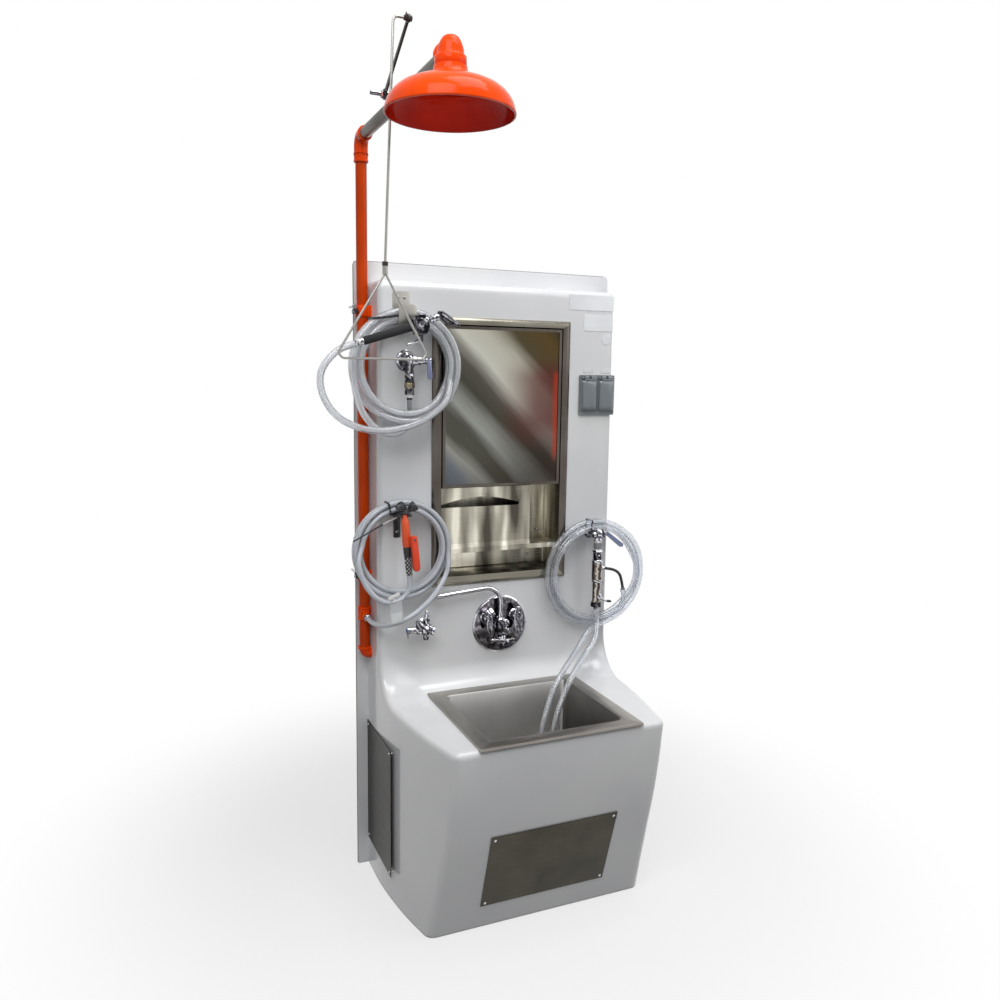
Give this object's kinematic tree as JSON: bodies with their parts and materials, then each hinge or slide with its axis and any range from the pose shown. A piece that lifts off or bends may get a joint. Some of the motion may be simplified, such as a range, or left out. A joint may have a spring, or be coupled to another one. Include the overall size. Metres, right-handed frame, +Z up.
{
  "type": "embalming sink",
  "caption": "White moulded wall station with a low steel sink, mirror and towel cabinet, mixing tap, coiled spray hoses, water aspirator and an orange overhead drench shower.",
  "frame": {"origin": "on the floor, at the plane of the wall behind the unit, in the middle of the body's width", "axes": "+X to the right seen from the front, +Y into the wall, +Z up"},
  "size_m": [1.1535, 0.948, 2.416],
  "materials": {
    "gelcoat": "glossy white gelcoat on a glass fibre moulding",
    "sink_steel": "brushed stainless sheet",
    "waste_plastic": "white waste pipe",
    "cabinet_steel": "brushed stainless sheet",
    "mirror_glass": "silvered glass",
    "plate_steel": "stainless sheet and screws",
    "safety_orange": "glossy safety orange paint",
    "dark_red_plastic": "dark red disc inside the bell",
    "galvanised_pipe": "dull pipe metal",
    "clear_vinyl": "clear vinyl hose",
    "grey_hose": "blue-grey rubber hose",
    "black_rubber": "black rubber and nylon",
    "dark_chrome": "darkened chrome",
    "polished_chrome": "polished chrome plate",
    "orange_grip": "orange moulded grip",
    "grey_plastic": "grey outlet cover",
    "clear_lid": "smoky clear lids",
    "plate_aluminium": "blank plates",
    "copper_tube": "copper tube"
  },
  "bodies": {
    "station": {"body_shell": "gelcoat", "sink_bowl": "sink_steel", "sink_strainer": "sink_steel", "waste_trap": "waste_plastic", "cabinet_box": "cabinet_steel", "mirror_frame": "cabinet_steel", "towel_dispenser": "cabinet_steel", "towel_hood": "cabinet_steel", "cabinet_shelf": "cabinet_steel", "mirror_glass": "mirror_glass", "access_plates": "plate_steel", "screws": "plate_steel", "hose_hanger": "plate_steel", "shower_riser": "safety_orange", "riser_foot": "safety_orange", "riser_tee": "safety_orange", "riser_clamps": "safety_orange", "riser_elbow": "safety_orange", "head_elbow": "safety_orange", "shower_bell": "safety_orange", "shower_deflector": "dark_red_plastic", "shower_arm": "galvanised_pipe", "shower_valve": "galvanised_pipe", "spray_hose_coil": "clear_vinyl", "spray_hose_tail": "clear_vinyl", "suction_tube_coil": "clear_vinyl", "suction_tube_tail": "clear_vinyl", "discharge_tube": "clear_vinyl", "drench_hose_coil": "grey_hose", "drench_hose_feed": "grey_hose", "drench_hose_lead": "grey_hose", "spray_grip": "black_rubber", "drench_bracket": "black_rubber", "hose_ties": "black_rubber", "spray_valve": "dark_chrome", "drench_heads": "dark_chrome", "wall_tap": "polished_chrome", "side_tap": "polished_chrome", "faucet_escutcheon": "polished_chrome", "faucet_body": "polished_chrome", "aspirator": "polished_chrome", "drench_handle": "orange_grip", "outlet_cover": "grey_plastic", "outlet_receptacles": "grey_plastic", "nameplates": "plate_aluminium", "supply_pipes": "copper_tube"},
    "shower_lever": {"shower_lever": "galvanised_pipe"},
    "spray_trigger": {"spray_trigger": "polished_chrome"},
    "wall_tap_lever": {"wall_tap_lever": "polished_chrome"},
    "drench_lever": {"drench_lever": "orange_grip"},
    "side_tap_handle": {"side_tap_handle": "polished_chrome"},
    "hot_lever": {"hot_lever": "polished_chrome"},
    "cold_lever": {"cold_lever": "polished_chrome"},
    "swing_spout": {"swing_spout": "polished_chrome"},
    "aspirator_tap_lever": {"aspirator_tap_lever": "polished_chrome"},
    "aspirator_lever": {"aspirator_lever": "polished_chrome"},
    "outlet_lid_left": {"outlet_lid_left": "clear_lid"},
    "outlet_lid_right": {"outlet_lid_right": "clear_lid"},
    "pull": {"pull_rod": "galvanised_pipe", "pull_handle": "galvanised_pipe"}
  },
  "joints": [
    {"name": "shower_lever_hinge", "type": "hinge", "parent": "station", "child": "shower_lever", "pos_m": [-0.47, -0.46, 2.297], "axis": [1, 0, 0], "range_deg": [0, 90]},
    {"name": "pull_rod_hinge", "type": "hinge", "parent": "shower_lever", "child": "pull", "pos_m": [-0.47, -0.65284, 2.40699], "axis": [1, 0, 0], "range_deg": [-90, 0]},
    {"name": "spray_trigger_hinge", "type": "hinge", "parent": "station", "child": "spray_trigger", "pos_m": [-0.30508, -0.24, 1.7131], "axis": [0, 1, 0], "range_deg": [0, 10], "stiffness_Nm_per_rad": 0.5},
    {"name": "wall_tap_lever_hinge", "type": "hinge", "parent": "station", "child": "wall_tap_lever", "pos_m": [-0.267, -0.17, 1.654], "axis": [1, 0, 0], "range_deg": [-90, 0]},
    {"name": "drench_lever_hinge", "type": "hinge", "parent": "station", "child": "drench_lever", "pos_m": [-0.322, -0.227, 1.13], "axis": [0, 1, 0], "range_deg": [0, 9], "stiffness_Nm_per_rad": 0.5},
    {"name": "side_tap_hinge", "type": "hinge", "parent": "station", "child": "side_tap_handle", "pos_m": [-0.314, -0.172, 0.833], "axis": [1, 0, 0], "range_deg": [-90, 0]},
    {"name": "hot_lever_hinge", "type": "hinge", "parent": "station", "child": "hot_lever", "pos_m": [-0.0475, -0.156, 0.84], "axis": [0, 1, 0], "range_deg": [0, 90]},
    {"name": "cold_lever_hinge", "type": "hinge", "parent": "station", "child": "cold_lever", "pos_m": [0.0525, -0.156, 0.84], "axis": [0, 1, 0], "range_deg": [-90, 0]},
    {"name": "spout_hinge", "type": "hinge", "parent": "station", "child": "swing_spout", "pos_m": [-0.0055, -0.158, 0.814], "axis": [0, 0, 1], "range_deg": [0, 150]},
    {"name": "aspirator_tap_lever_hinge", "type": "hinge", "parent": "station", "child": "aspirator_tap_lever", "pos_m": [0.349, -0.192, 1.0997], "axis": [1, 0, 0], "range_deg": [-90, 0]},
    {"name": "aspirator_lever_hinge", "type": "hinge", "parent": "station", "child": "aspirator_lever", "pos_m": [0.328, -0.192, 0.8937], "axis": [0, 1, 0], "range_deg": [0, 90]},
    {"name": "left_lid_hinge", "type": "hinge", "parent": "station", "child": "outlet_lid_left", "pos_m": [0.305, -0.145, 1.611], "axis": [1, 0, 0], "range_deg": [-105, 0]},
    {"name": "right_lid_hinge", "type": "hinge", "parent": "station", "child": "outlet_lid_right", "pos_m": [0.368, -0.145, 1.611], "axis": [1, 0, 0], "range_deg": [-105, 0]}
  ],
  "couplings": [
    {"joint": "pull_rod_hinge", "follows": "shower_lever_hinge", "ratio": -1}
  ]
}
